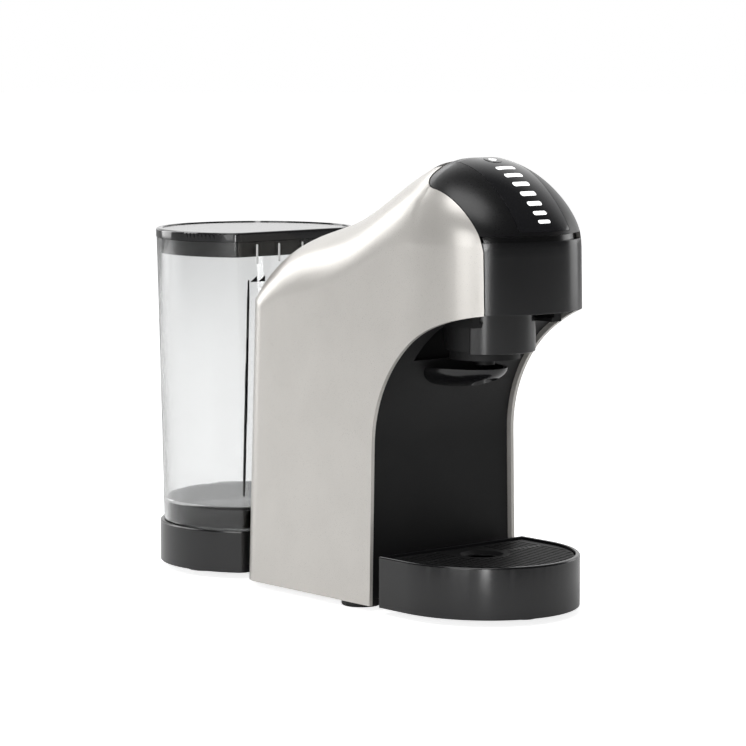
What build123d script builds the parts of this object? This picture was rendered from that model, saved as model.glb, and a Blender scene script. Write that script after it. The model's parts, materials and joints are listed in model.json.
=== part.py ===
"""Pod coffee machine: pearl side shells, black lever hood, capsule drawer, drip tray and clear tank.

Frame: X across, -Y towards the cup (front), +Z up, millimetres. While modelling, Y is measured from
the vertical front edge of the side shells; every part is moved by DATUM_Y when it is written, so the
finished origin is the centre of the footprint at table level.
"""
from build123d import *
import os
from math import cos, radians, sin, sqrt

# ---- overall -------------------------------------------------------------------------------------
DATUM_Y = -75.5          # shells' front edge to footprint centre
BOTTOM_Z = 4.0           # underside of the body, on 4 mm feet
GAP = 0.4                # clearance between neighbouring covers
RUNNING = 0.05           # radial clearance of a running fit

# ---- body form -----------------------------------------------------------------------------------
HALF_WIDTH = 59.0        # body half width at table level
DRAFT = 0.0175           # inward lean of the side walls, mm per mm of height
NOSE_Y = -34.0           # centre of the half-round nose, shared by head and tray
WALL = 2.4               # moulded wall
BODY_REAR_Y = 128.0      # rear wall at table level
REAR_LEAN = 0.02         # forward lean of the rear wall
REAR_CORNER = 20.0       # vertical rear corners
SHELL_SCREWS = [(49.0, 46.0), (42.0, 106.0)]
GLAND_X = 20.0           # mains cord entry in the rear cover
GLAND_Z = 40.0
GLAND_R = 5.5
# crest line of the body, front to back: station Y, crest height, shoulder radius
CREST = [
    (NOSE_Y, 269.3, 50.0), (-20.0, 267.1, 48.0), (4.0, 253.8, 45.0), (28.0, 239.1, 42.0),
    (52.0, 228.3, 39.5), (80.0, 219.4, 36.0), (104.0, 206.8, 33.0), (119.5, 190.0, 31.0),
    (128.6, 148.0, 29.0),
]

# ---- cup bay: quarter ellipse from the column front up to the underside of the head ---------------
BAY_SPRING_Z = 100.0     # height where the column edge starts to curve forward
BAY_LENGTH = 90.0        # ellipse semi-axis along Y
BAY_RISE = 82.0          # ellipse semi-axis along Z
LINER_SET = 3.0          # liner set back behind the shells' edge
LINER_WALL = 2.4

# ---- head ----------------------------------------------------------------------------------------
HEAD_BOTTOM_Z = 181.0
SEAM_Z = 222.6           # top of the front panel
HOOD_Z = 226.4           # lower edge of the hood, above the finger groove
GROOVE_DEPTH = 2.2
FACE_HALF = 38.0         # half width of the black front
FACE_FLARE_Z = 217.0     # above this height the black front widens
FACE_FLARE = 0.115
HOOD_REAR_Y = -28.0
HOOD_CORNER = 9.0
HOOD_WALL = 3.0
STRIP_HALF = 20.0        # control strip along the middle of the hood
STRIP_WALL = 1.4
HINGE_Y = -26.0
HINGE_Z = 264.2
HINGE_R = 2.6
HINGE_PIN_R = 1.5
HINGE_SWEEP_R = 5.8      # room around the hinge for the hood's rear lip
NOTCH_HALF = 27.0
BAR_COUNT = 7            # cup-size bars on the control strip
BAR_FIRST = 16.4         # degrees from the crest
BAR_STEP = 8.4
BAR_HALF = 7.3
BAR_SHRINK = 0.43        # each bar is this much narrower per side than the one above
BAR_HEIGHT = 3.2
DOME_Y = NOSE_Y - (HALF_WIDTH - DRAFT * 219.3 - 50.0)
DOME_Z = 219.3
DOME_R = 50.0
BUTTON_Y = -42.0
BUTTON_R = 5.0

# ---- brew unit -----------------------------------------------------------------------------------
CUP_Y = -36.0            # capsule and cup axis
HOLDER_TOP_Z = 180.4
HOLDER_RIM_R = 27.0
RAIL_HALF = 29.4         # holder flange half width
HOLDER_FRONT_R = 30.0
HOLDER_BOTTOM_Z = 151.0
HOLDER_BOTTOM_R = 21.0
GUIDE_X = 31.0
GUIDE_R = 2.5
DECK_Z = 184.0           # underside of the brew deck
DECK_WALL = 4.0
DECK_HOLE_R = 25.0
NEEDLE_TIP_Z = 176.0
CROSSHEAD_TOP_Z = 238.0  # crosshead face under the hood's cam ribs

# ---- drip tray -----------------------------------------------------------------------------------
TRAY_R = 58.0            # half width
TRAY_NOSE_Y = -31.4      # where the straight sides end
TRAY_NOSE = 4.7          # the nose is this much longer than the half width
TRAY_TOP_Z = 35.0
TRAY_REAR_Y = -7.4
TRAY_FLOOR_Z = 8.0
TRAY_WALL = 2.6
GRATE_TOP_Z = 33.4
GRATE_THICK = 2.4
GRATE_HOLE_R = 13.0
SLOT_WIDTH = 1.8
SLOT_PITCH = 3.9

# ---- water tank ----------------------------------------------------------------------------------
TANK_Y = 181.0           # centre of the round part
TANK_FLAT_Y = 139.0
TANK_TOP_R = 63.6
TANK_FOOT_R = 60.0
TANK_FOOT_Z = 31.0
TANK_TOP_Z = 212.0
TANK_WALL = 2.2
TANK_FLOOR_Z = 43.0
LID_TOP_Z = 218.0
LID_R = 64.0
BAND_Z = 202.5
DOCK_TOP_Z = 30.2
DOCK_R = 62.5
DOCK_FLAT_Y = 138.0
SPIGOT_Y = 160.0
SPIGOT_R = 7.6
PIPE_Z = 18.0            # water pipe from the dock into the body
DOCK_PIN_Z = 26.2        # pin under the tank valve, clear of its full drop

# ---- feet ----------------------------------------------------------------------------------------
FOOT_R = 12.0
FRONT_FEET = [(-44.0, 25.0), (44.0, 25.0)]
REAR_FEET = [(-38.0, 186.0), (38.0, 186.0)]
TRAY_FOOT_Y = -70.0


# ---- helpers -------------------------------------------------------------------------------------
def export(name, *solids):
    """Write one sub-part, moved from the modelling datum to the footprint centre."""
    pieces = []
    for item in solids:
        pieces.extend(item.solids())
    whole = pieces[0] if len(pieces) == 1 else Compound(children=pieces)
    whole.label = name
    export_step(whole.moved(Location((0, DATUM_Y, 0))), "parts/" + name + ".step")


def block(x0, x1, y0, y1, z0, z1):
    """Axis-aligned box by its limits."""
    middle = ((x0 + x1) / 2, (y0 + y1) / 2, (z0 + z1) / 2)
    return Pos(*middle) * Box(x1 - x0, y1 - y0, z1 - z0)


def post(x, y, z0, z1, radius):
    """Upright cylinder by its foot and top."""
    return Pos(x, y, (z0 + z1) / 2) * Cylinder(radius, z1 - z0)


def cone(x, y, z0, z1, low, high):
    """Upright cone frustum by its foot and top."""
    return Pos(x, y, (z0 + z1) / 2) * Cone(low, high, z1 - z0)


def bar_x(y, z, x0, x1, radius):
    """Cylinder along X."""
    return Pos((x0 + x1) / 2, y, z) * Rot(0, 90, 0) * Cylinder(radius, x1 - x0)


def bar_y(x, z, y0, y1, radius):
    """Cylinder along Y."""
    return Pos(x, (y0 + y1) / 2, z) * Rot(90, 0, 0) * Cylinder(radius, y1 - y0)


def ring(x, y, z0, z1, outer, inner):
    """Upright ring."""
    return post(x, y, z0, z1, outer) - post(x, y, z0 - 1, z1 + 1, inner)


def spring(x, y, z0, z1, radius, wire, turns):
    """Closed helical spring standing on z0."""
    height = z1 - z0 - 2 * wire
    path = Helix(height / turns, height, radius)
    start = Plane(origin=path @ 0, z_dir=path % 0)
    coil = sweep(start * Circle(wire), path=path)
    return Pos(x, y, z0 + wire) * coil


def tube(points, outer, inner):
    """Hose along a smooth route."""
    path = Spline(*points)
    start = Plane(origin=path @ 0, z_dir=path % 0)
    return sweep(start * (Circle(outer) - Circle(inner)), path=path)


def half_at(z, inset=0.0):
    """Half width of the drafted body at one height."""
    return HALF_WIDTH - DRAFT * z - inset


def rounded_block(half, y0, y1, z0, z1, corner, grow=0.0):
    """Rounded-corner prism whose half width grows by grow per mm of height."""
    faces = []
    for z in (z0, z1):
        width = 2 * (half + grow * (z - z0))
        outline = Pos(0, (y0 + y1) / 2) * RectangleRounded(width, y1 - y0, corner)
        faces.append(Pos(0, 0, z) * outline)
    return loft(faces, ruled=True)


# ---- body form -----------------------------------------------------------------------------------
def crest_normals():
    """Outward normal of the crest line at each station."""
    normals = []
    for index in range(len(CREST)):
        before = CREST[max(index - 1, 0)]
        after = CREST[min(index + 1, len(CREST) - 1)]
        along_y = after[0] - before[0]
        along_z = after[1] - before[1]
        if index == 0:
            along_z = 0.0
        length = sqrt(along_y ** 2 + along_z ** 2)
        normals.append((-along_z / length, along_y / length))
    return normals


def crest_section(y, top, radius, spring_z, half, foot_z, inset):
    """Face across X at one station: foot, two walls, two shoulders and the crest."""
    foot = half_at(foot_z, inset)
    flat = half - radius
    lean = radius * sin(radians(45))
    right = [(foot, y, foot_z), (half, y, spring_z), (flat + lean, y, spring_z + lean), (flat, y, top)]
    left = [(-x, station, z) for x, station, z in right]
    edges = [
        Line(left[0], right[0]),
        Line(right[0], right[1]),
        ThreePointArc(right[1], right[2], right[3]),
        Line(right[3], left[3]),
        ThreePointArc(left[3], left[2], left[1]),
        Line(left[1], left[0]),
    ]
    return make_face(edges)


def crest_loft(stations, inset, foot_z):
    """Solid through the first stations of the crest line."""
    sections = []
    for (y, top, radius), (normal_y, normal_z) in zip(CREST[:stations], crest_normals()):
        spring_z = top - radius
        half = half_at(spring_z, inset)
        low_y = y - inset * normal_y
        low_top = top - inset * normal_z
        sections.append(crest_section(low_y, low_top, low_top - spring_z, spring_z, half, foot_z, inset))
    return loft(sections)


def nose_form(inset, foot_z):
    """Half-round front of the head: half of a turned shape."""
    y, top, radius = CREST[0]
    spring_z = top - radius
    half = half_at(spring_z, inset)
    radius -= inset
    flat = half - radius
    lean = radius * sin(radians(45))
    crest_z = spring_z + radius
    foot = (half_at(foot_z, inset), y, foot_z)
    outline = [
        Line((0, y, foot_z), foot),
        Line(foot, (half, y, spring_z)),
        ThreePointArc((half, y, spring_z), (flat + lean, y, spring_z + lean), (flat, y, crest_z)),
        Line((flat, y, crest_z), (0, y, crest_z)),
        Line((0, y, crest_z), (0, y, foot_z)),
    ]
    nose = revolve(make_face(outline), axis=Axis((0, y, 0), (0, 0, 1)))
    return nose & block(-80, 80, y - 80, y, -20, 300)


def body_form(inset, foot_z):
    """Whole outer form of body and head, set in by inset all round."""
    return (nose_form(inset, foot_z) + crest_loft(len(CREST), inset, foot_z)) & corner_limits(inset)


def head_form(inset):
    """The head alone, for the hood and the front panel."""
    return nose_form(inset, 150.0) + crest_loft(3, inset, 150.0)


def skirt_form(inset, z0, z1):
    """Straight part of the body below the shoulders, rounded at the nose and the rear corners."""
    faces = []
    for z in (z0, z1):
        half = half_at(z, inset)
        rear = BODY_REAR_Y - REAR_LEAN * z - inset
        long = rear - NOSE_Y + 60
        block_plan = Pos(0, rear - long / 2) * RectangleRounded(2 * half, long, REAR_CORNER - inset)
        front = Pos(0, NOSE_Y - 100) * Rectangle(200, 200)
        plan = block_plan - front + Pos(0, NOSE_Y) * Circle(half)
        faces.append(Pos(0, 0, z) * plan)
    return loft(faces, ruled=True)


def corner_limits(inset):
    """Leaning rear wall with rounded vertical corners."""
    faces = []
    for z in (-20.0, 300.0):
        rear = BODY_REAR_Y - REAR_LEAN * z - inset
        width = 2 * half_at(z, inset)
        outline = Pos(0, (rear - 240.0) / 2, 0) * RectangleRounded(width + 0.002, rear + 240.0, REAR_CORNER - inset)
        faces.append(Pos(0, 0, z) * outline)
    return loft(faces, ruled=True)


def bay_block(grow):
    """Space of the cup bay, grown into the body by grow."""
    low = Pos((grow - 240) / 2, (BAY_SPRING_Z - 20) / 2) * Rectangle(240 + grow, BAY_SPRING_Z + 20)
    arch = Pos(-BAY_LENGTH, BAY_SPRING_Z) * Ellipse(BAY_LENGTH + grow, BAY_RISE + grow)
    top = BAY_SPRING_Z + BAY_RISE + grow
    front = Pos((-240 - BAY_LENGTH) / 2, (top - 20) / 2) * Rectangle(240 - BAY_LENGTH, top + 20)
    profile = Plane.YZ * (low + arch + front)
    return extrude(profile, 80, both=True)


def face_block(grow):
    """Region of the black front and hood, grown by grow on its sides and rear edge."""
    rear = HOOD_REAR_Y + grow
    half = FACE_HALF + grow
    low = rounded_block(half, -200, rear, 150, FACE_FLARE_Z, HOOD_CORNER)
    high = rounded_block(half, -200, rear, FACE_FLARE_Z, 300, HOOD_CORNER, FACE_FLARE)
    return low + high


# ---- shells --------------------------------------------------------------------------------------
OUTER = body_form(0.0, BOTTOM_Z)
INNER = body_form(WALL, -10.0)
HEAD = head_form(0.0)
LINING = skirt_form(WALL + GAP, 0.0, 215.0)


def side_shells():
    """Left and right halves of the pearl housing, parted on the centre plane."""
    notch = block(-NOTCH_HALF, NOTCH_HALF, HOOD_REAR_Y - 4, HINGE_Y + HINGE_SWEEP_R + 1, 250, 280)
    rear_window = block(-32, 32, 100, 140, 26, 150)
    water_hole = bar_y(0, PIPE_Z, 100, 140, 4.6)
    neck_slot = block(-34 - GAP, 34 + GAP, 100, 140, 0, BOTTOM_Z + 3 + GAP)
    housing = OUTER - INNER - bay_block(0) - face_block(0) - notch - rear_window - water_hole - neck_slot
    left = housing & block(-100, -0.1, -200, 300, 0, 300)
    right = housing & block(0.1, 100, -200, 300, 0, 300)
    for x, y in SHELL_SCREWS:
        left += screw_boss(-x, y)
        right += screw_boss(x, y)
    return left, right


def screw_boss(x, y):
    """Hollow boss for a floor screw, tied to the side wall by a rib."""
    side = 1 if x > 0 else -1
    rib_end = side * (half_at(15) - 1.0)
    rib = block(min(x, rib_end), max(x, rib_end), y - 1, y + 1, 7.5, 30)
    boss = post(x, y, 7.5, 30, 4.2) + rib
    return boss - post(x, y, 0, 28, 1.4)


def rear_cover():
    """Plug-in cover in the rear window, with a hole for the cord gland."""
    skin = corner_limits(0.0) - corner_limits(WALL)
    cover = skin & block(-32 + GAP, 32 - GAP, 100, 140, 26 + GAP, 150 - GAP)
    backing = corner_limits(WALL + 0.05) - corner_limits(WALL + 2.0)
    flange = backing & block(-37, 37, 100, 140, 23.4, 154)
    bridge = (corner_limits(1.0) - corner_limits(WALL + 2.0)) & block(-31, 31, 100, 140, 27, 149)
    cover = cover + flange + bridge
    return cover - bar_y(GLAND_X, GLAND_Z, 100, 140, GLAND_R)


def cord_gland():
    """Rubber bush where the mains cord would enter."""
    wall_y = BODY_REAR_Y - REAR_LEAN * GLAND_Z
    bush = bar_y(GLAND_X, GLAND_Z, wall_y - 7, wall_y + 2.5, GLAND_R - 0.02)
    bush += bar_y(GLAND_X, GLAND_Z, wall_y + 0.3, wall_y + 2.5, GLAND_R + 2)
    return bush - bar_y(GLAND_X, GLAND_Z, 100, 140, 3.4)


def column_panel():
    """Black liner of the cup bay: column front, curved throat and head ceiling."""
    sheet = (bay_block(LINER_SET + LINER_WALL) - bay_block(LINER_SET)) & LINING
    sheet = sheet & block(-80, 80, -84, 60, 7.2, 300)
    opening = block(-37, 37, -72, 6, 150, 200)
    return sheet - opening


def base_plate():
    """Floor of the body with the tongue that the drip tray slides over."""
    floor = LINING & block(-80, 80, LINER_SET + 0.2, 140, BOTTOM_Z, BOTTOM_Z + 3)
    tongue = block(-22, 22, -44, LINER_SET + 0.4, BOTTOM_Z, BOTTOM_Z + 3)
    neck = block(-34, 34, 100, DOCK_FLAT_Y - 0.1, BOTTOM_Z, BOTTOM_Z + 3)
    plate = floor + tongue + neck
    for x, y in SHELL_SCREWS:
        for side in (-1, 1):
            plate -= post(side * x, y, 0, 10, 1.8)
    return plate


def base_screws():
    """Four pan-head screws up through the floor into the shells."""
    screws = []
    for x, y in SHELL_SCREWS:
        for side in (-1, 1):
            head = post(side * x, y, BOTTOM_Z - 1.6, BOTTOM_Z, 3.2)
            shank = post(side * x, y, BOTTOM_Z - 0.2, 20, 1.39)
            slot = block(side * x - 2.4, side * x + 2.4, y - 0.4, y + 0.4, 2, 3.2)
            cross = block(side * x - 0.4, side * x + 0.4, y - 2.4, y + 2.4, 2, 3.2)
            screws.append(head + shank - slot - cross)
    return screws


# ---- head ----------------------------------------------------------------------------------------
def head_front_panel():
    """Curved black front of the head, with the recessed lip that makes the finger groove."""
    skin = HEAD - head_form(2.6)
    panel = skin & face_block(-GAP) & block(-60, 60, -120, NOSE_Y - 30, HEAD_BOTTOM_Z, SEAM_Z)
    inner_skin = head_form(GROOVE_DEPTH + 1.2) - head_form(GROOVE_DEPTH + 3.0)
    lip = inner_skin & face_block(-3.4) & block(-60, 60, -120, NOSE_Y - 20, SEAM_Z - 8, HOOD_Z + 1.5)
    shelf = (HEAD - head_form(GROOVE_DEPTH + 3.0)) & face_block(-GAP)
    shelf = shelf & block(-60, 60, -120, NOSE_Y - 30, SEAM_Z - 3, SEAM_Z - 0.6)
    return panel + lip + shelf


def hood_zone():
    """Region of the hood inside the body form."""
    return face_block(-GAP) & block(-60, 60, -120, 0, HOOD_Z, 300)


def strip_zone(half, top_y, low_z):
    """Band along the middle of the hood."""
    return block(-half, half, -120, top_y, low_z, 300)


def lever_hood():
    """Domed lever hood with a pocket for the control strip, a hinge knuckle and two cam ribs."""
    shell = (HEAD - head_form(HOOD_WALL)) & hood_zone()
    pocket = (HEAD - head_form(STRIP_WALL)) & strip_zone(STRIP_HALF, HOOD_REAR_Y - 4, HOOD_Z + 3)
    shell -= pocket
    web = block(-7, 7, -32.2, HINGE_Y, HINGE_Z - 1.2, HINGE_Z + 1.6)
    web += block(-7, 7, -32.2, -28.8, HINGE_Z, 267.4)
    knuckle = bar_x(HINGE_Y, HINGE_Z, -7, 7, HINGE_R)
    ribs = []
    ceiling = head_form(HOOD_WALL - 0.5)
    for side in (-1, 1):
        rib = block(side * 10 - 1.2, side * 10 + 1.2, -58, -40, CROSSHEAD_TOP_Z + 0.3, 268)
        ribs.append(rib & ceiling)
    hood = shell + web + knuckle
    for rib in ribs:
        hood += rib
    hood -= bar_x(HINGE_Y, HINGE_Z, -8, 8, HINGE_PIN_R + RUNNING)
    hood -= post(0, BUTTON_Y, 240, 280, BUTTON_R + 0.3)
    return hood


def control_strip():
    """Glossy strip set into the hood, pierced for the bars and the start button."""
    layer = HEAD - head_form(STRIP_WALL - 0.02)
    strip = layer & strip_zone(STRIP_HALF - 0.3, HOOD_REAR_Y - 4.3, HOOD_Z + 3.3)
    for bar in bar_blanks(BAR_HALF, BAR_HEIGHT):
        strip -= bar
    return strip - post(0, BUTTON_Y, 240, 280, BUTTON_R + 0.3)


def bar_blanks(half, height):
    """Radial blanks of the cup-size bars around the dome."""
    blanks = []
    for index in range(BAR_COUNT):
        angle = BAR_FIRST + index * BAR_STEP
        centre = (0, DOME_Y - DOME_R * sin(radians(angle)), DOME_Z + DOME_R * cos(radians(angle)))
        outline = RectangleRounded(2 * (half - index * BAR_SHRINK), height, 0.45 * height)
        blanks.append(Pos(*centre) * Rot(angle, 0, 0) * Pos(0, 0, -4) * extrude(outline, 8))
    return blanks


def indicator_bars():
    """Seven light bars, flush with the strip."""
    layer = HEAD - head_form(STRIP_WALL - 0.05)
    return [layer & bar for bar in bar_blanks(BAR_HALF - 0.05, BAR_HEIGHT - 0.1)]


def hinge_bracket():
    """Fixed hinge block in the shells' notch, scooped so that the hood's lip can turn."""
    body = block(-26.5, 26.5, HOOD_REAR_Y - 3.5, HINGE_Y + HINGE_SWEEP_R + 4, 246, 280)
    body = body & crest_loft(3, WALL + GAP, 150.0)
    body -= bar_x(HINGE_Y, HINGE_Z, -40, 40, HINGE_SWEEP_R)
    body -= block(-40, 40, HOOD_REAR_Y - 10, HINGE_Y, 257, 280)
    for side in (-1, 1):
        middle = side * 10.2
        ear = block(middle - 2.9, middle + 2.9, HINGE_Y - 2, HINGE_Y + 2, HINGE_Z - 8, HINGE_Z)
        ear += bar_x(HINGE_Y, HINGE_Z, middle - 2.9, middle + 2.9, HINGE_R)
        body += ear
    return body - bar_x(HINGE_Y, HINGE_Z, -14, 14, HINGE_PIN_R)


def start_button():
    """Round push button on the crown of the hood."""
    cap = post(0, BUTTON_Y, 240, 280, BUTTON_R) & head_form(-0.3)
    return cap - block(-20, 20, -60, -20, 200, 266.2)


# ---- brew unit -----------------------------------------------------------------------------------
def brew_deck():
    """Fixed deck above the capsule: side rails, plate with the piston hole and rear legs."""
    plate = block(-36.5, 36.5, -71, -4, DECK_Z, DECK_Z + DECK_WALL)
    plate -= post(0, CUP_Y, 180, 192, DECK_HOLE_R)
    rails = block(-35.5, 35.5, -64, -6, 172.5, DECK_Z)
    rails -= block(-RAIL_HALF - 0.4, RAIL_HALF + 0.4, -80, -7.6, 170, DECK_Z)
    ledges = block(-35.5, 35.5, -64, -6, 172.5, 175)
    ledges -= block(-27.8, 27.8, -80, 0, 170, 180)
    legs = block(-36.5, 36.5, -4, 2, 140, DECK_Z + DECK_WALL) & bay_liner_back()
    deck = plate + rails + ledges + legs
    for side in (-1, 1):
        deck -= post(side * GUIDE_X, CUP_Y, 180, 192, GUIDE_R)
    return deck


def bay_liner_back():
    """Everything behind the liner sheet."""
    return block(-60, 60, -120, 130, 8, 280) - bay_block(LINER_SET + LINER_WALL + 0.1)


def guide_pins():
    """Two steel guides of the piercing head."""
    return [post(side * GUIDE_X, CUP_Y, DECK_Z, 236, GUIDE_R) for side in (-1, 1)]


def piercing_head():
    """Sliding head: piston over the capsule, stem and crosshead riding on the guides."""
    piston = post(0, CUP_Y, 182.6, 197, DECK_HOLE_R - 0.5)
    piston -= post(0, CUP_Y, 188, 198, DECK_HOLE_R - 4)
    stem = post(0, CUP_Y, 186, CROSSHEAD_TOP_Z, 7)
    cross = block(-GUIDE_X - 6, GUIDE_X + 6, CUP_Y - 7, CUP_Y + 7, 214, 222)
    head = piston + stem + cross + block(-13, 13, -50, CUP_Y, CROSSHEAD_TOP_Z - 5, CROSSHEAD_TOP_Z)
    for side in (-1, 1):
        head -= post(side * GUIDE_X, CUP_Y, 200, 230, GUIDE_R + RUNNING)
    return head - post(0, CUP_Y, 170, 230, 1.2)


def piercing_needle():
    """Hollow needle below the piston."""
    needle = cone(0, CUP_Y, NEEDLE_TIP_Z, NEEDLE_TIP_Z + 3, 0.5, 1.2)
    return needle + post(0, CUP_Y, NEEDLE_TIP_Z + 3, 192, 1.2)


def head_seal():
    """Silicone ring that closes on the capsule rim."""
    return ring(0, CUP_Y, 181.2, 182.6, 22, 17)


def return_springs():
    """Springs that lift the piercing head."""
    return [spring(side * GUIDE_X, CUP_Y, DECK_Z + DECK_WALL, 214, 3.8, 0.5, 9) for side in (-1, 1)]


def capsule_holder():
    """Sliding capsule drawer: flanged cup with a straight ring and a needle relief."""
    cup = cone(0, CUP_Y, 156.5, 176, 23.2, 26.4) + post(0, CUP_Y, HOLDER_BOTTOM_Z, 156.5, HOLDER_BOTTOM_R)
    flange = block(-RAIL_HALF, RAIL_HALF, -62, -9, 175.6, HOLDER_TOP_Z) & post(0, CUP_Y, 170, 190, 36)
    holder = cup + post(0, CUP_Y, 175.9, HOLDER_TOP_Z, HOLDER_RIM_R) + flange
    holder -= cone(0, CUP_Y, 154, HOLDER_TOP_Z + 0.01, 18.6, 24.6)
    holder -= post(0, CUP_Y, 140, 160, 6)
    holder -= block(-2.6, 2.6, CUP_Y, 0, NEEDLE_TIP_Z - 1, 190)
    holder -= sector(HOLDER_FRONT_R + 10, HOLDER_FRONT_R - 2.2, 150, 190, 61)
    return holder


def sector(outer, inner, z0, z1, half_angle):
    """Ring sector around the capsule axis, centred on the front."""
    whole = ring(0, CUP_Y, z0, z1, outer, inner)
    reach = 90.0
    side = reach * sin(radians(half_angle))
    depth = reach * cos(radians(half_angle))
    wedge = Polyline((0, 0), (-side, -depth), (-side, -reach), (side, -reach), (side, -depth), (0, 0))
    return whole & (Pos(0, CUP_Y, z0 - 1) * extrude(make_face(wedge), z1 - z0 + 2))


def holder_front():
    """Curved pull of the drawer."""
    front = sector(HOLDER_FRONT_R, HOLDER_FRONT_R - 2.2, 155.6, HOLDER_TOP_Z, 60)
    return fillet(front.edges().filter_by(Axis.Z), 0.9)


def outlet_spout():
    """Small spout under the cup."""
    return ring(0, CUP_Y, 147.2, 154.0, 5.9, 3.2) + ring(0, CUP_Y, 154.0, 155.4, 9, 3.2)


def lower_jaw():
    """Rounded catcher under the drawer, growing out of the throat."""
    bowl = Pos(0, -6, 145) * scale(Sphere(1), by=(25, 42, 13))
    bowl &= block(-60, 60, -60, 40, 120, 145)
    hollow = Pos(0, -6, 145.5) * scale(Sphere(1), by=(22.6, 39.4, 10.8))
    bowl -= hollow
    bowl -= post(0, CUP_Y, 120, 150, 8)
    return bowl & bay_block(LINER_SET - 0.05)


# ---- drip tray -----------------------------------------------------------------------------------
def nose_plan(radius, rear_y, z0, z1):
    """Half-round plan of the tray: straight sides and round front."""
    disc = Pos(0, TRAY_NOSE_Y, z0) * extrude(Ellipse(radius, radius + TRAY_NOSE), z1 - z0)
    straight = block(-radius, radius, TRAY_NOSE_Y, rear_y, z0, z1)
    front = disc & block(-80, 80, -140, TRAY_NOSE_Y + 0.01, z0 - 1, z1 + 1)
    return front + straight


def drip_tray():
    """Tray with a raised rim, a grate ledge and a floor that clears the tongue."""
    outer = nose_plan(TRAY_R, TRAY_REAR_Y, BOTTOM_Z, TRAY_TOP_Z)
    outer = fillet(outer.edges().group_by(Axis.Z)[-1], 1.2)
    inside = nose_plan(TRAY_R - TRAY_WALL - 2.4, TRAY_REAR_Y - TRAY_WALL - 2, TRAY_FLOOR_Z + 2.4, 60)
    seat = nose_plan(TRAY_R - TRAY_WALL, TRAY_REAR_Y - TRAY_WALL, GRATE_TOP_Z - GRATE_THICK - 0.3, 60)
    under = nose_plan(TRAY_R - TRAY_WALL, TRAY_REAR_Y - TRAY_WALL, 0, TRAY_FLOOR_Z)
    mouth = block(-22.6, 22.6, -20, 0, 0, BOTTOM_Z + 3.4)
    return outer - inside - seat - under - mouth


def drip_grate():
    """Lift-off grate: two fields of slots, a cross bar and a dished hole under the spout."""
    radius = TRAY_R - TRAY_WALL - GAP
    rear = TRAY_REAR_Y - TRAY_WALL - GAP
    low = GRATE_TOP_Z - GRATE_THICK
    plate = nose_plan(radius, rear, low, GRATE_TOP_Z)
    plate = fillet(plate.edges().group_by(Axis.Z)[-1], 0.6)
    cutters = []
    for index in range(-12, 13):
        x = index * SLOT_PITCH
        reach = sqrt((radius - 5.5) ** 2 - x ** 2) + TRAY_NOSE - (NOSE_Y - TRAY_NOSE_Y)
        centre_gap = GRATE_HOLE_R + 4
        clear = sqrt(centre_gap ** 2 - x ** 2) if abs(x) < centre_gap else 1.6
        slot_half = SLOT_WIDTH / 2
        front_y = NOSE_Y - reach
        if NOSE_Y - clear - front_y > 4:
            cutters.append(block(x - slot_half, x + slot_half, front_y, NOSE_Y - clear, low - 1, 60))
        if abs(x) < centre_gap:
            continue
        cutters.append(block(x - slot_half, x + slot_half, NOSE_Y + clear, rear - 5, low - 1, 60))
    for cutter in cutters:
        plate -= cutter
    dish = cone(0, NOSE_Y, low + 0.6, GRATE_TOP_Z + 0.01, GRATE_HOLE_R - 3, GRATE_HOLE_R)
    return plate - dish - post(0, NOSE_Y, low - 1, 60, GRATE_HOLE_R - 4.5)


# ---- water tank ----------------------------------------------------------------------------------
def tank_plan(radius, flat_y, corner):
    """Circle cut by a flat front, with rounded front corners."""
    disc = Pos(0, TANK_Y) * Circle(radius)
    cut = Pos(0, flat_y - 100) * Rectangle(300, 200)
    plan = disc - cut
    corners = plan.vertices().sort_by(Axis.Y)[:2]
    return fillet(corners, corner)


def tank_prism(low_r, high_r, low_flat, high_flat, z0, z1, corner):
    """Tapered prism on the tank plan."""
    low = Pos(0, 0, z0) * tank_plan(low_r, low_flat, corner)
    high = Pos(0, 0, z1) * tank_plan(high_r, high_flat, corner)
    return loft([low, high], ruled=True)


def tank_body():
    """Clear tank with a raised floor and an outlet spigot."""
    outer = tank_prism(TANK_FOOT_R, TANK_TOP_R, TANK_FLAT_Y, TANK_FLAT_Y, TANK_FOOT_Z, TANK_TOP_Z, 8)
    wall = TANK_WALL
    taper = (TANK_TOP_R - TANK_FOOT_R) / (TANK_TOP_Z - TANK_FOOT_Z)
    floor_r = TANK_FOOT_R + taper * (TANK_FLOOR_Z + 2.2 - TANK_FOOT_Z)
    inside = tank_prism(floor_r - wall, TANK_TOP_R - wall + taper, TANK_FLAT_Y + wall, TANK_FLAT_Y + wall,
                        TANK_FLOOR_Z + 2.2, TANK_TOP_Z + 1, 6)
    skirt_top = TANK_FOOT_R + taper * (TANK_FLOOR_Z - TANK_FOOT_Z)
    under = tank_prism(TANK_FOOT_R - wall - taper, skirt_top - wall, TANK_FLAT_Y + wall, TANK_FLAT_Y + wall,
                       TANK_FOOT_Z - 1, TANK_FLOOR_Z, 6)
    body = outer - inside - under
    body += post(0, SPIGOT_Y, 24, TANK_FLOOR_Z + 1, SPIGOT_R)
    body -= post(0, SPIGOT_Y, 20, 60, 4.6)
    web = ring(0, SPIGOT_Y, 33, 35.4, 5, 2.2)
    for side in (-1, 1):
        web -= post(side * 3.5, SPIGOT_Y, 30, 40, 0.8)
    return body + web


def tank_skirt_insert():
    """Dark ring pressed inside the tank's foot."""
    outer_r = TANK_FOOT_R - TANK_WALL - 0.2
    flat = TANK_FLAT_Y + TANK_WALL + 0.2
    outer = tank_prism(outer_r, outer_r, flat, flat, TANK_FOOT_Z + 0.6, TANK_FLOOR_Z - 0.3, 5)
    inner = tank_prism(outer_r - 2, outer_r - 2, flat + 2, flat + 2, 20, 60, 4)
    return outer - inner


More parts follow.
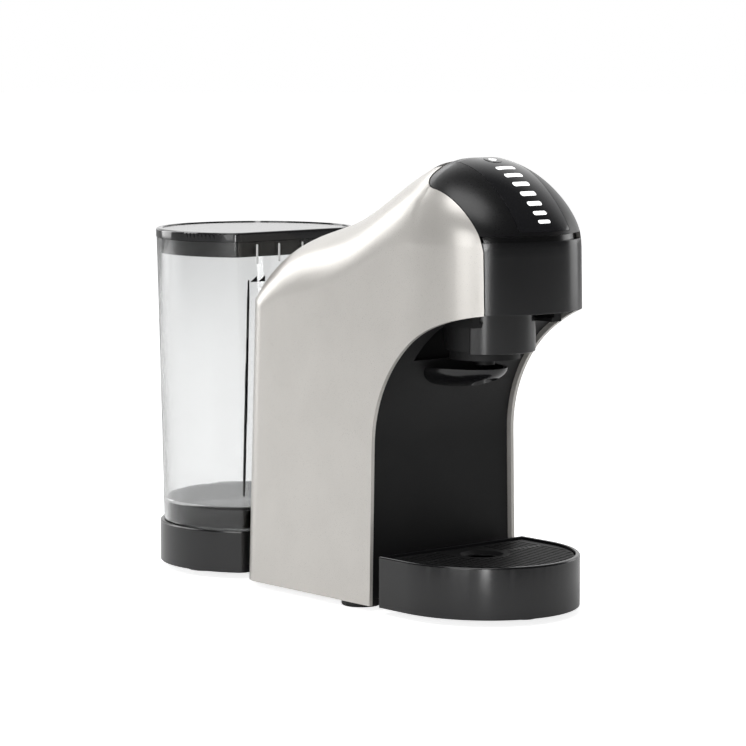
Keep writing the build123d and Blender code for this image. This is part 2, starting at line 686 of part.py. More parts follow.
def tank_lid():
    """Lid with a shallow dished top and a finger lip."""
    lid = tank_prism(LID_R, LID_R, TANK_FLAT_Y - 0.8, TANK_FLAT_Y - 0.8, TANK_TOP_Z + 0.3, LID_TOP_Z, 8.4)
    lid = fillet(lid.edges().group_by(Axis.Z)[-1], 1.4)
    panel = tank_prism(LID_R - 4, LID_R - 4, TANK_FLAT_Y + 3.2, TANK_FLAT_Y + 3.2, LID_TOP_Z - 0.6, LID_TOP_Z + 1, 6)
    return lid - panel


def lid_band():
    """Band under the lid that centres it in the tank."""
    band_r = TANK_TOP_R - TANK_WALL - 0.7
    flat = TANK_FLAT_Y + TANK_WALL + 0.5
    outer = tank_prism(band_r, band_r, flat, flat, BAND_Z, TANK_TOP_Z + 0.3, 5)
    inner = tank_prism(band_r - 1.8, band_r - 1.8, flat + 1.8, flat + 1.8, BAND_Z - 1, TANK_TOP_Z + 1, 4)
    return outer - inner


def tank_valve():
    """Poppet of the tank outlet, held up by the dock pin."""
    head = post(0, SPIGOT_Y, 48.4, 50.4, 7) + cone(0, SPIGOT_Y, 47.2, 48.4, 5, 7)
    return head + post(0, SPIGOT_Y, 28.4, 48, 2.1)


def tank_valve_spring():
    """Spring that shuts the poppet when the tank is lifted."""
    return spring(0, SPIGOT_Y, 35.4, 47.0, 3.3, 0.4, 5)


def tank_dock():
    """Hollow dock under the tank with the water socket, the valve pin and the pipe into the body."""
    outer = tank_prism(DOCK_R, DOCK_R, DOCK_FLAT_Y, DOCK_FLAT_Y, BOTTOM_Z, DOCK_TOP_Z, 8)
    outer = chamfer(outer.edges().group_by(Axis.Z)[-1], 0.8)
    cavity = tank_prism(DOCK_R - 2.6, DOCK_R - 2.6, DOCK_FLAT_Y + 2.6, DOCK_FLAT_Y + 2.6, 0, DOCK_TOP_Z - 3, 6)
    cavity -= post(0, SPIGOT_Y, 14, DOCK_TOP_Z, 12)
    for x, y in REAR_FEET:
        cavity -= post(x, y, BOTTOM_Z, DOCK_TOP_Z, 5)
    dock = outer - cavity
    dock += bar_y(0, PIPE_Z, DOCK_FLAT_Y - 14, SPIGOT_Y - 9, 3.6)
    socket = post(0, SPIGOT_Y, 17, 40, SPIGOT_R + 0.6) - post(0, SPIGOT_Y, 16, DOCK_PIN_Z, 1.6)
    dock -= socket
    return dock - bar_y(0, PIPE_Z, DOCK_FLAT_Y - 20, SPIGOT_Y - 4, 2)


def dock_gasket():
    """Lip seal around the tank spigot."""
    return ring(0, SPIGOT_Y, 24.6, 27.0, SPIGOT_R + 0.6, SPIGOT_R + RUNNING)


# ---- inside the column ---------------------------------------------------------------------------
def water_pump():
    """Vibration pump: solenoid frame, coil, inlet and outlet."""
    frame = block(-38, -8, 76, 108, 52, 92)
    barrel = post(-23, 92, 30, 114, 9)
    coil = block(-40, -6, 80, 104, 57, 87)
    return frame + barrel + coil + post(-23, 92, 22, 30, 3) + post(-23, 92, 114, 122, 3)


def pump_mounts():
    """Rubber rings that hang the pump in its brackets."""
    return [ring(-23, 92, z, z + 6, 13, 9.02) for z in (36.0, 100.0)]


def pump_bracket():
    """Bracket from the floor to both pump rings."""
    bracket = block(-36, -4, 108.4, 111.4, 7, 112)
    for z in (36.0, 100.0):
        arm = block(-36, -8, 98, 110, z + 1, z + 5) - post(-23, 92, z, z + 6, 13.02)
        bracket += arm
    foot = block(-36, -4, 100, 111.4, 7, 10)
    return bracket + foot


def thermoblock():
    """Cast heater block with the embedded element's ends and water unions."""
    body = block(-24, 30, 22, 50, 112, 176)
    body = fillet(body.edges().filter_by(Axis.X), 5)
    for index in range(5):
        z = 118 + index * 12
        body -= block(-30, 40, 49, 51, z, z + 5)
    body += post(-14, 36, 176, 184, 3) + post(18, 36, 176, 184, 3)
    body += post(-18, 44, 104, 112, 2.4) + post(22, 44, 104, 112, 2.4)
    return body


def thermoblock_bracket():
    """Sheet bracket that carries the heater from the floor."""
    left = block(-28, -24.1, 26, 46, 7, 150)
    right = block(30.1, 34, 26, 46, 7, 150)
    return left + right + block(-28, 34, 26, 46, 7, 9.5)


def flow_meter():
    """Turbine flow meter on the suction side."""
    meter = post(24, 98, 12, 26, 14) + bar_y(24, 19, 78, 118, 3)
    return meter + block(8, 40, 94, 102, 7, 12)


def power_board():
    """Mains board with its relay, capacitor and terminal blocks."""
    board = block(44, 45.6, 34, 100, 60, 130)
    parts = block(35, 44, 48, 62, 70, 86) + bar_x(84, 80, 30, 44, 8) + block(36, 44, 44, 90, 108, 120)
    rail = block(40, 49, 60, 66, 7, 60.5)
    return board + parts + rail


def control_board():
    """Small board behind the light bars, riding in the hood."""
    plate = Pos(0, -56, 246.5) * Rot(34, 0, 0) * Box(17, 26, 1.6)
    return plate


def hoses():
    """Silicone hoses: dock to meter, meter to pump, pump to heater, heater to head."""
    suction = tube([(0, 123.9, 18), (1, 120, 18), (12, 119.4, 19), (22, 121.5, 19), (24, 118.1, 19)], 2.8, 1.6)
    feed = tube([(24, 77.6, 19), (16, 70, 18), (-6, 72, 17), (-20, 86, 17), (-23, 92, 21.8)], 3.2, 1.8)
    pressure = tube([(-23, 92, 122.2), (-23, 88, 138), (-20, 60, 186), (-15, 42, 194), (-14, 36, 184.2)], 2.8, 1.6)
    brew = tube([(18, 36, 184.2), (18, 34, 196), (14, 10, 212), (9, -12, 214), (6, -24, 208)], 2.8, 1.6)
    return suction, feed, pressure, brew


# ---- feet ----------------------------------------------------------------------------------------
def foot(x, y, radius, top):
    """Rubber foot with a soft lower edge."""
    body = post(x, y, 0, top, radius)
    return fillet(body.edges().group_by(Axis.Z)[0], 1.2)


# ---- write everything ----------------------------------------------------------------------------
os.makedirs("parts", exist_ok=True)

left_shell, right_shell = side_shells()
export("left_side_shell", left_shell)
export("right_side_shell", right_shell)
export("rear_cover", rear_cover())
export("cord_gland", cord_gland())
export("column_panel", column_panel())
export("base_plate", base_plate())
export("base_screws", *base_screws())
export("head_front_panel", head_front_panel())
export("lever_hood", lever_hood())
export("control_strip", control_strip())
export("indicator_bars", *indicator_bars())
export("control_board", control_board())
export("start_button", start_button())
export("hinge_bracket", hinge_bracket())
export("hinge_pin", bar_x(HINGE_Y, HINGE_Z, -13, 13, HINGE_PIN_R))
export("brew_deck", brew_deck())
export("guide_pins", *guide_pins())
export("piercing_head", piercing_head())
export("piercing_needle", piercing_needle())
export("head_seal", head_seal())
export("return_springs", *return_springs())
export("capsule_holder", capsule_holder())
export("holder_front", holder_front())
export("outlet_spout", outlet_spout())
export("lower_jaw", lower_jaw())
export("drip_tray", drip_tray())
export("drip_grate", drip_grate())
export("tank_body", tank_body())
export("tank_skirt_insert", tank_skirt_insert())
export("tank_lid", tank_lid())
export("lid_band", lid_band())
export("tank_valve", tank_valve())
export("tank_valve_spring", tank_valve_spring())
export("tank_dock", tank_dock())
export("dock_gasket", dock_gasket())
export("water_pump", water_pump())
export("pump_mounts", *pump_mounts())
export("pump_bracket", pump_bracket())
export("thermoblock", thermoblock())
export("thermoblock_bracket", thermoblock_bracket())
export("flow_meter", flow_meter())
export("power_board", power_board())
suction_hose, feed_hose, pressure_hose, brew_hose = hoses()
export("suction_hose", suction_hose)
export("feed_hose", feed_hose)
export("pressure_hose", pressure_hose)
export("brew_hose", brew_hose)
export("front_feet", *[foot(x, y, FOOT_R, BOTTOM_Z) for x, y in FRONT_FEET])
export("rear_feet", *[foot(x, y, FOOT_R, BOTTOM_Z) for x, y in REAR_FEET])
export("tray_foot", foot(0, TRAY_FOOT_Y, 8.5, TRAY_FLOOR_Z))
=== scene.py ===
"""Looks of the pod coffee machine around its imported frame: materials, edge rounding and small details."""
import json
import math

import bmesh
import bpy
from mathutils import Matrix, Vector


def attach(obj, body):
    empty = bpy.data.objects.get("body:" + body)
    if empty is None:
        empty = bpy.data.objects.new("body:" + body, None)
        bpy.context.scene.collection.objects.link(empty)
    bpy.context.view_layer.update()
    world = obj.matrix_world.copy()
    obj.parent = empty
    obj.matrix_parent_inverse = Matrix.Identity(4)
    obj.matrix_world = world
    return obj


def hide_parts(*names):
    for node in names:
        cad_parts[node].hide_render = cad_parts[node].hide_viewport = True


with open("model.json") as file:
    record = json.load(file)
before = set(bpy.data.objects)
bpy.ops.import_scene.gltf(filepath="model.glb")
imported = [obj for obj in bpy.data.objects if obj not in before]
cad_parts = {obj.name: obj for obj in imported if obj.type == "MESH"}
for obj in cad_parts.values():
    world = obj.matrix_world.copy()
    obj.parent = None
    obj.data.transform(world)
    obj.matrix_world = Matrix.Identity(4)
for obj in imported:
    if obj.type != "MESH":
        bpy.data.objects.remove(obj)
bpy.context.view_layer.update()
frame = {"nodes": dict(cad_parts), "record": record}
NODES = frame["nodes"]
NODE_SLOT = {part["node"]: part["material_slot"] for part in frame["record"]["subparts"]}
BODY_OF = {node: body for body, nodes in frame["record"]["behaviour"]["bodies"].items() for node in nodes}

# The machine's own millimetres, as in the CAD: X across, Y back from the shells' front edge, Z up.
MM = 0.001
DATUM_Y = -75.5          # shift from the shells' front edge to the frame's origin
NOSE_Y = -34.0           # axis of the head's round nose
NOSE_R = 59.0            # and its radius
RESHAPE_FROM_Z = 150.0   # the nose keeps its CAD shape below this
SEAM_Z = 226.4           # lower edge of the hood
CROWN_FROM_Z = 217.0     # from here up the fuller nose fades out
CROWN_FADE = 52.0        # over this height
NOSE_CORNER = 0.030      # share by which the nose is fuller between front and side
NOSE_REACH = 0.045       # and longer at the front
CROWN_FALL = 0.22        # how the crown falls towards the front
CROWN_DIVE = 0.33        # and how much steeper at its tip
BUTTON_Y = -42.0         # middle of the start button
BUTTON_TOP_Z = 269.3
TANK_FLAT_Y = 139.0      # flat front of the tank
LID_BAND_Z = 210.5       # lower edge of the lid's band
SMOOTH_ANGLE = 30.0      # edges that turn more than this many degrees stay sharp


def at(x, y, z):
    """Point of the machine in metres, Y counted from the shells' front edge."""
    return Vector((x, y + DATUM_Y, z)) * MM


# ---- camera and picture --------------------------------------------------------------------------
CAMERA_AT = (-1.25558, -1.47989, 0.34705)
CAMERA_PITCH = 83.693    # degrees up from straight down
CAMERA_TURN = -40.5      # degrees about the vertical
FOCAL_LENGTH = 152.374   # millimetres on a 36 mm wide sensor

scene = bpy.context.scene
scene.view_settings.view_transform = "Standard"
scene.view_settings.look = "None"

lens = bpy.data.cameras.new("camera")
lens.lens = FOCAL_LENGTH
lens.sensor_width = 36.0
lens.clip_end = 60.0
camera = bpy.data.objects.new("camera", lens)
camera.location = CAMERA_AT
camera.rotation_euler = (math.radians(CAMERA_PITCH), 0.0, math.radians(CAMERA_TURN))
scene.collection.objects.link(camera)
scene.camera = camera


# ---- material kit --------------------------------------------------------------------------------
def new_material(name):
    """Empty node material with a shader and an output."""
    mat = bpy.data.materials.new(name)
    mat.use_nodes = True
    tree = mat.node_tree
    tree.nodes.clear()
    out = tree.nodes.new("ShaderNodeOutputMaterial")
    shader = tree.nodes.new("ShaderNodeBsdfPrincipled")
    tree.links.new(shader.outputs["BSDF"], out.inputs["Surface"])
    return mat, tree, shader


def noise(tree, scale, detail=3.0, stretch=None):
    """Solid noise in object space, in features per metre."""
    coords = tree.nodes.new("ShaderNodeTexCoord")
    source = coords.outputs["Object"]
    if stretch:
        mapping = tree.nodes.new("ShaderNodeMapping")
        mapping.inputs["Scale"].default_value = stretch
        tree.links.new(source, mapping.inputs["Vector"])
        source = mapping.outputs["Vector"]
    node = tree.nodes.new("ShaderNodeTexNoise")
    node.inputs["Scale"].default_value = scale
    node.inputs["Detail"].default_value = detail
    tree.links.new(source, node.inputs["Vector"])
    return node.outputs["Fac"]


def spread(tree, factor, low, high):
    """Noise value mapped to low..high."""
    node = tree.nodes.new("ShaderNodeMapRange")
    node.inputs["From Min"].default_value = 0.3
    node.inputs["From Max"].default_value = 0.7
    node.inputs["To Min"].default_value = low
    node.inputs["To Max"].default_value = high
    tree.links.new(factor, node.inputs["Value"])
    return node.outputs["Result"]


def two_tone(tree, factor, dark, light):
    """Colour that wanders between two close tones."""
    ramp = tree.nodes.new("ShaderNodeValToRGB")
    ramp.color_ramp.elements[0].position = 0.3
    ramp.color_ramp.elements[0].color = (*dark, 1.0)
    ramp.color_ramp.elements[1].position = 0.7
    ramp.color_ramp.elements[1].color = (*light, 1.0)
    tree.links.new(factor, ramp.inputs["Fac"])
    return ramp.outputs["Color"]


def bump(tree, shader, factor, height):
    """Surface texture of a given height in metres."""
    node = tree.nodes.new("ShaderNodeBump")
    node.inputs["Strength"].default_value = 1.0
    node.inputs["Distance"].default_value = height
    tree.links.new(factor, node.inputs["Height"])
    tree.links.new(node.outputs["Normal"], shader.inputs["Normal"])


def finish(name, dark, light, rough, grain, height, metal=0.0, coat=0.0, coat_rough=0.1,
           stretch=None, specular=0.5):
    """Moulded, painted or metal finish with wandering tone, roughness and a fine surface texture."""
    mat, tree, shader = new_material(name)
    broad = noise(tree, 38.0, 2.0)
    tree.links.new(two_tone(tree, broad, dark, light), shader.inputs["Base Color"])
    fine = noise(tree, grain, 3.0, stretch)
    tree.links.new(spread(tree, fine, rough[0], rough[1]), shader.inputs["Roughness"])
    bump(tree, shader, fine, height)
    shader.inputs["Metallic"].default_value = metal
    shader.inputs["Coat Weight"].default_value = coat
    shader.inputs["Coat Roughness"].default_value = coat_rough
    shader.inputs["Specular IOR Level"].default_value = specular
    return mat


def clear_plastic(name, tint, rough):
    """Clear moulded plastic with faint flow lines."""
    mat, tree, shader = new_material(name)
    shader.inputs["Base Color"].default_value = (*tint, 1.0)
    shader.inputs["Transmission Weight"].default_value = 1.0
    shader.inputs["IOR"].default_value = 1.45
    flow = noise(tree, 60.0, 2.0, (1.0, 1.0, 0.25))
    tree.links.new(spread(tree, flow, rough[0], rough[1]), shader.inputs["Roughness"])
    bump(tree, shader, flow, 0.00004)
    return mat


def glowing(name, colour, strength):
    """Backlit translucent window with a slight mottle."""
    mat, tree, shader = new_material(name)
    mottle = noise(tree, 900.0, 2.0)
    tone = two_tone(tree, mottle, [c * 0.93 for c in colour], colour)
    tree.links.new(tone, shader.inputs["Base Color"])
    tree.links.new(tone, shader.inputs["Emission Color"])
    shader.inputs["Emission Strength"].default_value = strength
    shader.inputs["Roughness"].default_value = 0.3
    return mat


def circuit(name):
    """Solder-masked board with faint copper lines."""
    mat, tree, shader = new_material(name)
    coords = tree.nodes.new("ShaderNodeTexCoord")
    brick = tree.nodes.new("ShaderNodeTexBrick")
    brick.inputs["Scale"].default_value = 160.0
    brick.inputs["Color1"].default_value = (0.012, 0.09, 0.035, 1)
    brick.inputs["Color2"].default_value = (0.016, 0.11, 0.045, 1)
    brick.inputs["Mortar"].default_value = (0.05, 0.2, 0.08, 1)
    tree.links.new(coords.outputs["Object"], brick.inputs["Vector"])
    tree.links.new(brick.outputs["Color"], shader.inputs["Base Color"])
    tree.links.new(spread(tree, noise(tree, 500.0), 0.25, 0.4), shader.inputs["Roughness"])
    return mat


SLOTS = {
    "pearl": finish(
        "pearl_paint", (0.66, 0.637, 0.601), (0.69, 0.666, 0.629), (0.27, 0.33), 2600.0, 0.000006,
        metal=0.4, coat=0.3, coat_rough=0.25),
    "hood_black": finish(
        "hood_black", (0.004, 0.004, 0.0045), (0.0055, 0.0055, 0.006), (0.26, 0.34), 2200.0, 0.000010),
    "strip_gloss": finish(
        "strip_gloss", (0.006, 0.006, 0.007), (0.008, 0.008, 0.009), (0.12, 0.18), 900.0, 0.000002,
        coat=0.5, coat_rough=0.05),
    "satin_black": finish(
        "satin_black", (0.0035, 0.0035, 0.004), (0.005, 0.005, 0.0055), (0.17, 0.22), 1800.0, 0.000010,
        specular=0.75),
    "matte_black": finish(
        "matte_black", (0.007, 0.007, 0.0075), (0.009, 0.009, 0.0095), (0.48, 0.58), 1500.0, 0.000022,
        specular=0.35),
    "light_bar": glowing("light_bar", (1.0, 1.0, 1.0), 1.1),
    "pcb_green": circuit("circuit_board"),
    "steel": finish(
        "brushed_steel", (0.50, 0.50, 0.49), (0.58, 0.58, 0.57), (0.2, 0.36), 1400.0, 0.000004,
        metal=1.0, stretch=(1.0, 1.0, 0.06)),
    "spring_steel": finish(
        "spring_steel", (0.42, 0.42, 0.43), (0.5, 0.5, 0.51), (0.22, 0.32), 2000.0, 0.000003, metal=1.0),
    "cast_aluminium": finish(
        "cast_aluminium", (0.46, 0.46, 0.47), (0.56, 0.56, 0.57), (0.42, 0.6), 900.0, 0.00004, metal=1.0),
    "zinc_sheet": finish(
        "zinc_sheet", (0.42, 0.43, 0.45), (0.56, 0.57, 0.58), (0.3, 0.45), 160.0, 0.000008, metal=1.0),
    "silicone": finish(
        "silicone", (0.66, 0.66, 0.64), (0.72, 0.72, 0.70), (0.42, 0.5), 1200.0, 0.000012),
    "black_rubber": finish(
        "black_rubber", (0.014, 0.014, 0.014), (0.02, 0.02, 0.02), (0.62, 0.74), 1800.0, 0.00003),
    "grey_nylon": finish(
        "grey_nylon", (0.30, 0.30, 0.30), (0.35, 0.35, 0.35), (0.42, 0.52), 1500.0, 0.000018),
    "clear_tank": clear_plastic("clear_tank", (0.78, 0.785, 0.785), (0.02, 0.05)),
}
GLOSS_BLACK = finish(
    "gloss_black", (0.012, 0.012, 0.013), (0.016, 0.016, 0.017), (0.10, 0.15), 700.0, 0.000002,
    coat=0.4, coat_rough=0.06)
FOOT_GREY = finish(
    "foot_grey", (0.42, 0.42, 0.42), (0.5, 0.5, 0.5), (0.55, 0.65), 1500.0, 0.00002)
# painted highlight: milky white for the clear tank ribs, so that they show as the bright highlights that
# clear ribs catch
RIB_PAINTED_HIGHLIGHT = finish(
    "rib_painted_highlight", (0.78, 0.78, 0.78), (0.86, 0.86, 0.86), (0.14, 0.2), 800.0, 0.000004)
NODE_FINISH = {"tank_lid": GLOSS_BLACK, "rear_feet": FOOT_GREY}


# ---- pieces --------------------------------------------------------------------------------------
NOSE_NODES = ("left_side_shell", "right_side_shell", "head_front_panel", "lever_hood", "control_strip",
              "indicator_bars", "start_button")
EDGE_ROUNDING = {         # node and the width of its rounded edges in millimetres
    "control_strip": 0.25, "indicator_bars": 0.15, "start_button": 0.4, "capsule_holder": 0.3,
    "lower_jaw": 0.4, "tank_lid": 0.35, "lid_band": 0.3, "tray_foot": 0.4,
    "left_side_shell": 0.7, "right_side_shell": 0.7, "head_front_panel": 0.35, "lever_hood": 0.5,
    "column_panel": 0.3, "holder_front": 0.4, "drip_tray": 0.4, "tank_dock": 0.4, "rear_cover": 0.4,
}


def finish_of(node):
    """Material of a node: its own where it has one, else that of its slot."""
    return NODE_FINISH.get(node, SLOTS[NODE_SLOT[node]])


def dress(obj, material):
    """Give an object one material on all its faces."""
    obj.data.materials.clear()
    obj.data.materials.append(material)


def mark_edges(bm):
    """Smooth faces with sharp edges where the surface turns."""
    for face in bm.faces:
        face.smooth = True
    for edge in bm.edges:
        edge.smooth = len(edge.link_faces) == 2 and edge.calc_face_angle(0.0) < math.radians(SMOOTH_ANGLE)


def nose_shape(point):
    """Fuller corners and a falling crown for the head's nose; the rest of the machine stays put."""
    x, y, z = point.x / MM, point.y / MM - DATUM_Y - NOSE_Y, point.z / MM
    if y >= 0.0 or z < RESHAPE_FROM_Z:
        return point
    turn = math.atan2(x, -y)
    high = 1 - min(max(z - CROWN_FROM_Z, 0.0) / CROWN_FADE, 1.0)
    full = NOSE_CORNER * math.sin(2 * turn) ** 2 * high
    reach = min(-y / NOSE_R, 1.0)
    fall = CROWN_FALL * reach + CROWN_DIVE * reach ** 3
    if z > SEAM_Z:
        z = SEAM_Z + (z - SEAM_Z) * (1 - fall)
    return at(x * (1 + full), NOSE_Y + y * (1 + full + NOSE_REACH * high), z)


def refined(node, width):
    """Edge-rounded copy of a CAD node that stands for it."""
    data = NODES[node].data.copy()
    if "custom_normal" in data.attributes:
        data.attributes.remove(data.attributes["custom_normal"])
    bm = bmesh.new()
    bm.from_mesh(data)
    bmesh.ops.remove_doubles(bm, verts=bm.verts, dist=1e-6)
    bmesh.ops.dissolve_limit(bm, angle_limit=math.radians(0.05), verts=bm.verts, edges=bm.edges)
    if node in NOSE_NODES:
        for vert in bm.verts:
            vert.co = nose_shape(vert.co)
    mark_edges(bm)
    bm.to_mesh(data)
    bm.free()
    piece = bpy.data.objects.new(node + "_body", data)
    scene.collection.objects.link(piece)
    bevel = piece.modifiers.new("soft edge", "BEVEL")
    bevel.width = width * MM
    bevel.segments = 3
    bevel.limit_method = "ANGLE"
    bevel.angle_limit = math.radians(SMOOTH_ANGLE)
    bevel.use_clamp_overlap = True
    bevel.harden_normals = True
    bevel.miter_outer = "MITER_ARC"
    dress(piece, finish_of(node))
    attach(piece, BODY_OF[node])
    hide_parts(node)


def add_mesh(name, bm, material, body):
    """Turn a bmesh into a piece that rides on a body."""
    bmesh.ops.recalc_face_normals(bm, faces=bm.faces)
    mark_edges(bm)
    data = bpy.data.meshes.new(name)
    bm.to_mesh(data)
    bm.free()
    piece = bpy.data.objects.new(name, data)
    scene.collection.objects.link(piece)
    dress(piece, material)
    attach(piece, body)


def loft_rings(bm, rings):
    """Closed skin over rings of equal point count, with a cap at each end."""
    layers = [[bm.verts.new(p) for p in ring] for ring in rings]
    count = len(layers[0])
    for low, high in zip(layers, layers[1:]):
        for i in range(count):
            j = (i + 1) % count
            bm.faces.new((low[i], low[j], high[j], high[i]))
    bm.faces.new(layers[0][::-1])
    bm.faces.new(layers[-1])


# ---- CAD nodes: every one gets its finish --------------------------------------------------------
for node_name, node_object in NODES.items():
    dress(node_object, finish_of(node_name))

for node_name, edge_width in EDGE_ROUNDING.items():
    refined(node_name, edge_width)


# ---- small details -------------------------------------------------------------------------------
def power_mark(inner=1.7, outer=2.35, half_gap=38.0, stroke=0.33, stroke_y=(-41.8, -39.4), height=0.45):
    """Generic power sign on the start button: an open ring and a tick."""
    low, high = BUTTON_TOP_Z, BUTTON_TOP_Z + height
    bm = bmesh.new()
    steps = 40
    gap = math.radians(half_gap)
    rings = []
    for i in range(steps + 1):
        angle = math.pi / 2 + gap + (math.tau - 2 * gap) * i / steps
        c, s = math.cos(angle), math.sin(angle)
        section = ((inner, low), (outer, low), (outer, high), (inner, high))
        rings.append([at(r * c, BUTTON_Y + r * s, z) for r, z in section])
    loft_rings(bm, rings)
    near, far = stroke_y
    corners = ((-stroke, near), (stroke, near), (stroke, far), (-stroke, far))
    loft_rings(bm, [[at(x, y, z) for x, y in corners] for z in (low, high)])
    for vert in bm.verts:
        vert.co = nose_shape(vert.co)
    add_mesh("power_mark", bm, SLOTS["light_bar"], "button")


def painted_refraction_mark(index, x, foot_z=187.0, width=5.4, height=3.6):
    """Small black triangle on the flat of the tank beside the black line: a painted refraction, standing for
    the black rear panel's top edge seen through the tank.
    """
    bm = bmesh.new()
    corners = ((x, foot_z), (x + width, foot_z), (x + width, foot_z + height))
    loft_rings(bm, [[at(px, y, pz) for px, pz in corners] for y in (TANK_FLAT_Y - 0.25, TANK_FLAT_Y + 0.02)])
    add_mesh(f"painted_refraction_mark_{index}", bm, SLOTS["matte_black"], "tank")


def tank_rib(index, x, low, high=LID_BAND_Z, radius=0.75, tip=0.3):
    """Half-round guide rib on the tank's flat under the lid. It is clear on the real tank, and its milky
    white finish is a painted highlight.
    """
    bm = bmesh.new()
    steps = 8
    rings = []
    for z, r in ((low, tip), (low + 0.5, radius), (high - 0.5, radius), (high, tip)):
        angles = [math.pi * k / steps for k in range(steps + 1)]
        rings.append([at(x - r * math.cos(a), TANK_FLAT_Y - r * math.sin(a), z) for a in angles])
    loft_rings(bm, rings)
    add_mesh(f"tank_rib_{index}", bm, RIB_PAINTED_HIGHLIGHT, "tank")


def painted_shade_line(top=(-37.3, 142.6, 188.0), bottom=(-40.7, 143.2, 52.0), radius=0.8, tip=0.5):
    """Slim black line down the corner of the tank's flat: painted shade and refraction, standing for the
    body's dark, shadowed rear edge seen through the tank.
    """
    bm = bmesh.new()
    steps = 12
    rings = []
    for t in range(steps + 1):
        x, y, z = (a + (b - a) * t / steps for a, b in zip(top, bottom))
        r = radius if 0 < t < steps else tip
        angles = [math.tau * k / steps for k in range(steps)]
        rings.append([at(x + r * math.cos(a), y + r * math.sin(a), z) for a in angles])
    loft_rings(bm, rings)
    add_mesh("painted_shade_line", bm, SLOTS["matte_black"], "tank")


power_mark()
# painted refraction: two black triangles for the rear panel's top edge seen through the tank
painted_refraction_mark(1, -38.2)
painted_refraction_mark(2, -31.8)
tank_rib(1, -32.6, 198.0)
tank_rib(2, -15.0, 199.0)
tank_rib(3, 4.0, 205.0)
# painted shade: black line for the body's shadowed rear edge seen through the tank
painted_shade_line()


# ---- stage and light -----------------------------------------------------------------------------
SURROUND_FRONT = 0.045   # strength of the reflected surround before the machine
SURROUND_BACK = 0.95     # and behind it
SURROUND_SIDE = (0.65, 0.76, 0.0)    # direction in which it brightens
SURROUND_FROM = 0.25     # cosines to that direction between which it does so
SURROUND_TO = 0.92
FLOOR_RADIUS = 14.0      # metres
FLOOR_GLOW = 0.82        # what the floor shines with when it is looked at
FLOOR_BOUNCE = 0.08      # and towards the machine
AIM = (0.0, 0.0, 0.13)   # point that the lights face


def bounce_ray(tree):
    """1 for light that bounces off the machine, 0 for what is looked at directly or through the tank."""
    path = tree.nodes.new("ShaderNodeLightPath")
    either = tree.nodes.new("ShaderNodeMath")
    either.operation = "ADD"
    either.use_clamp = True
    tree.links.new(path.outputs["Diffuse Depth"], either.inputs[0])
    tree.links.new(path.outputs["Glossy Depth"], either.inputs[1])
    return either.outputs["Value"]


def backdrop():
    """Plain white floor."""
    bm = bmesh.new()
    steps = 96
    angles = [math.tau * i / steps for i in range(steps)]
    rim = [bm.verts.new((FLOOR_RADIUS * math.cos(a), FLOOR_RADIUS * math.sin(a), 0.0)) for a in angles]
    bm.faces.new(rim)
    data = bpy.data.meshes.new("floor")
    bm.to_mesh(data)
    bm.free()
    floor = bpy.data.objects.new("floor", data)
    scene.collection.objects.link(floor)
    mat, tree, shader = new_material("floor_white")
    tone = two_tone(tree, noise(tree, 2.0, 2.0), (0.90, 0.90, 0.90), (0.92, 0.92, 0.92))
    tree.links.new(tone, shader.inputs["Base Color"])
    shader.inputs["Roughness"].default_value = 0.9
    shader.inputs["Specular IOR Level"].default_value = 0.1
    shader.inputs["Emission Color"].default_value = (1, 1, 1, 1)
    lift = tree.nodes.new("ShaderNodeMath")
    lift.operation = "MULTIPLY_ADD"
    tree.links.new(bounce_ray(tree), lift.inputs[0])
    lift.inputs[1].default_value = FLOOR_BOUNCE - FLOOR_GLOW
    lift.inputs[2].default_value = FLOOR_GLOW
    tree.links.new(lift.outputs["Value"], shader.inputs["Emission Strength"])
    floor.data.materials.append(mat)


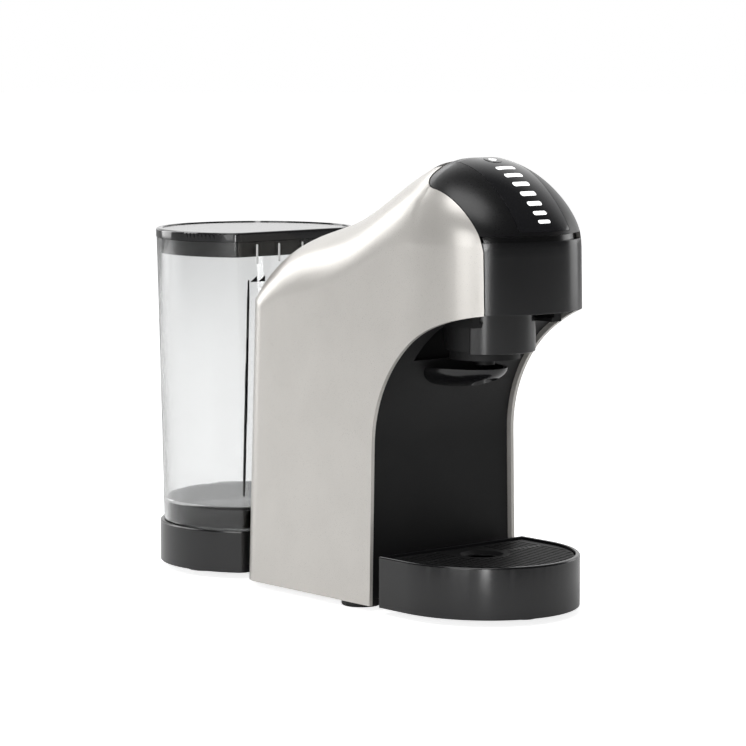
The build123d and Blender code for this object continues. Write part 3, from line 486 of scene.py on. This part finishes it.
def studio_world():
    """White backdrop, with a surround for reflections that is bright behind the machine and dim in front."""
    world = bpy.data.worlds.new("studio")
    scene.world = world
    world.use_nodes = True
    tree = world.node_tree
    tree.nodes.clear()
    out = tree.nodes.new("ShaderNodeOutputWorld")
    coords = tree.nodes.new("ShaderNodeTexCoord")
    toward = tree.nodes.new("ShaderNodeVectorMath")
    toward.operation = "DOT_PRODUCT"
    toward.inputs[1].default_value = SURROUND_SIDE
    tree.links.new(coords.outputs["Generated"], toward.inputs[0])
    fade = tree.nodes.new("ShaderNodeMapRange")
    fade.interpolation_type = "SMOOTHSTEP"
    fade.inputs["From Min"].default_value = SURROUND_FROM
    fade.inputs["From Max"].default_value = SURROUND_TO
    fade.inputs["To Min"].default_value = SURROUND_FRONT
    fade.inputs["To Max"].default_value = SURROUND_BACK
    tree.links.new(toward.outputs["Value"], fade.inputs["Value"])
    surround = tree.nodes.new("ShaderNodeBackground")
    tree.links.new(fade.outputs["Result"], surround.inputs["Strength"])
    surround.inputs["Color"].default_value = (1, 1, 1, 1)
    seen = tree.nodes.new("ShaderNodeBackground")
    seen.inputs["Color"].default_value = (1, 1, 1, 1)
    mix = tree.nodes.new("ShaderNodeMixShader")
    tree.links.new(bounce_ray(tree), mix.inputs["Fac"])
    tree.links.new(seen.outputs["Background"], mix.inputs[1])
    tree.links.new(surround.outputs["Background"], mix.inputs[2])
    tree.links.new(mix.outputs["Shader"], out.inputs["Surface"])


def soft_box(name, azimuth, elevation, distance, width, height, power):
    """Rectangular studio light aimed at the machine; angles in degrees from the front, sizes in metres."""
    a, e = math.radians(azimuth), math.radians(elevation)
    offset = Vector((math.sin(a) * math.cos(e), -math.cos(a) * math.cos(e), math.sin(e))) * distance
    light = bpy.data.lights.new(name, "AREA")
    light.shape = "RECTANGLE"
    light.size = width
    light.size_y = height
    light.energy = power
    lamp = bpy.data.objects.new(name, light)
    lamp.location = Vector(AIM) + offset
    lamp.rotation_euler = (-offset).to_track_quat("-Z", "Y").to_euler()
    scene.collection.objects.link(lamp)


backdrop()
studio_world()
soft_box("top_box", -70.0, 70.0, 1.9, 1.4, 0.9, 13.0)
soft_box("front_box", -68.0, 15.0, 2.6, 1.1, 1.5, 13.0)
soft_box("strip_box", -42.0, 4.0, 2.6, 0.3, 0.8, 9.0)
soft_box("rear_box", -164.0, 16.0, 2.4, 1.0, 1.5, 15.0)
soft_box("rim_box", 176.0, 44.0, 2.2, 1.8, 0.6, 10.0)
soft_box("far_box", 84.0, 10.0, 2.6, 1.0, 1.2, 4.5)
